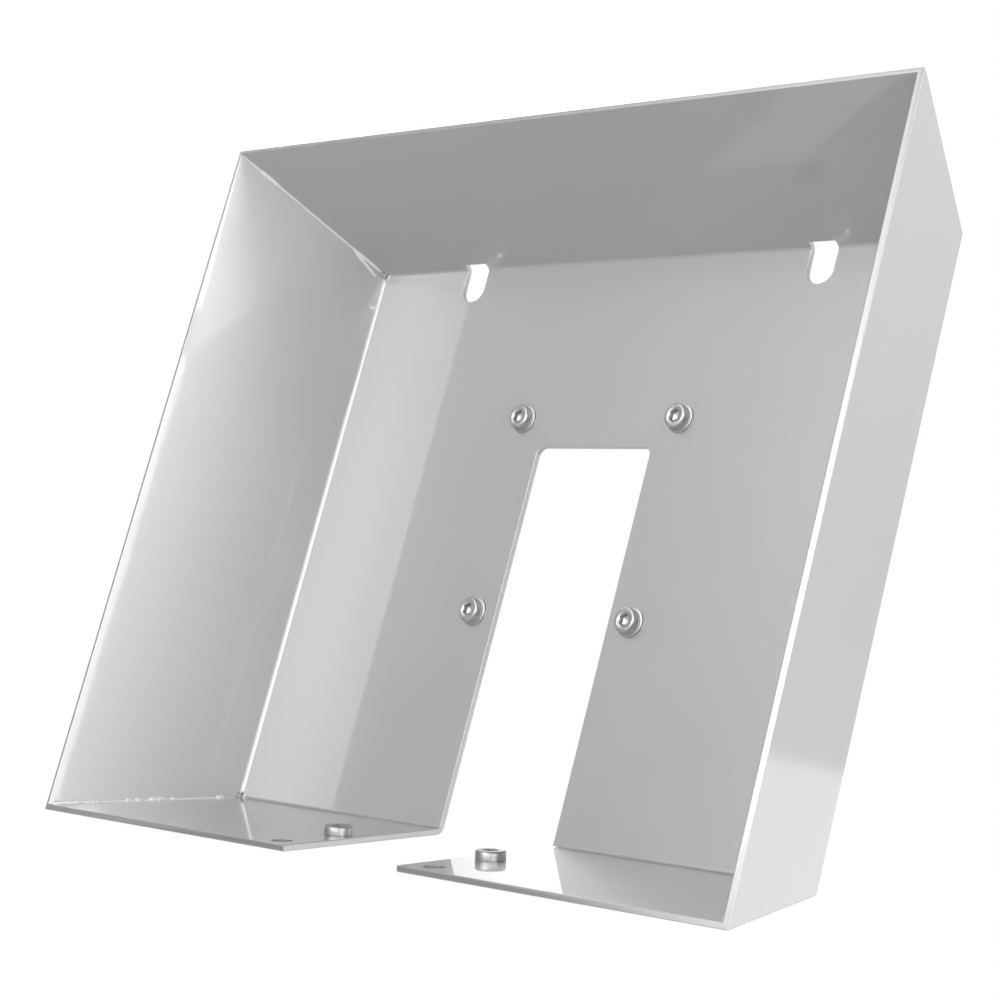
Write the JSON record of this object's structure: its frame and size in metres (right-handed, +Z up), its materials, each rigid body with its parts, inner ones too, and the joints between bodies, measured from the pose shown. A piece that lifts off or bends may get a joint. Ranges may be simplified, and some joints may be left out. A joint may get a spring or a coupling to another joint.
{
  "type": "camera weather hood",
  "caption": "Open-fronted sheet-metal weather hood for a wall camera, with splayed walls, a notch through back and bottom, hanging slots, socket screws and press-in nuts.",
  "frame": {"origin": "centre of the square of four screws, on the rear face of the back plate", "axes": "+X to the right seen from the open front, +Y to the rear, +Z up"},
  "size_m": [0.3002, 0.0736, 0.2502],
  "materials": {
    "powder_coated_sheet": "smooth gloss powder coat, light grey",
    "zinc_plated_steel": "bright zinc plate",
    "clinch_nut_steel": "bright zinc plate"
  },
  "bodies": {
    "root": {"hood_shell": "powder_coated_sheet", "cap_screw_top_left": "zinc_plated_steel", "washer_top_left": "zinc_plated_steel", "hex_nut_top_left": "zinc_plated_steel", "cap_screw_top_right": "zinc_plated_steel", "washer_top_right": "zinc_plated_steel", "hex_nut_top_right": "zinc_plated_steel", "cap_screw_bottom_left": "zinc_plated_steel", "washer_bottom_left": "zinc_plated_steel", "hex_nut_bottom_left": "zinc_plated_steel", "cap_screw_bottom_right": "zinc_plated_steel", "washer_bottom_right": "zinc_plated_steel", "hex_nut_bottom_right": "zinc_plated_steel", "clinch_nut_left": "clinch_nut_steel", "clinch_nut_right": "clinch_nut_steel"}
  },
  "joints": []
}
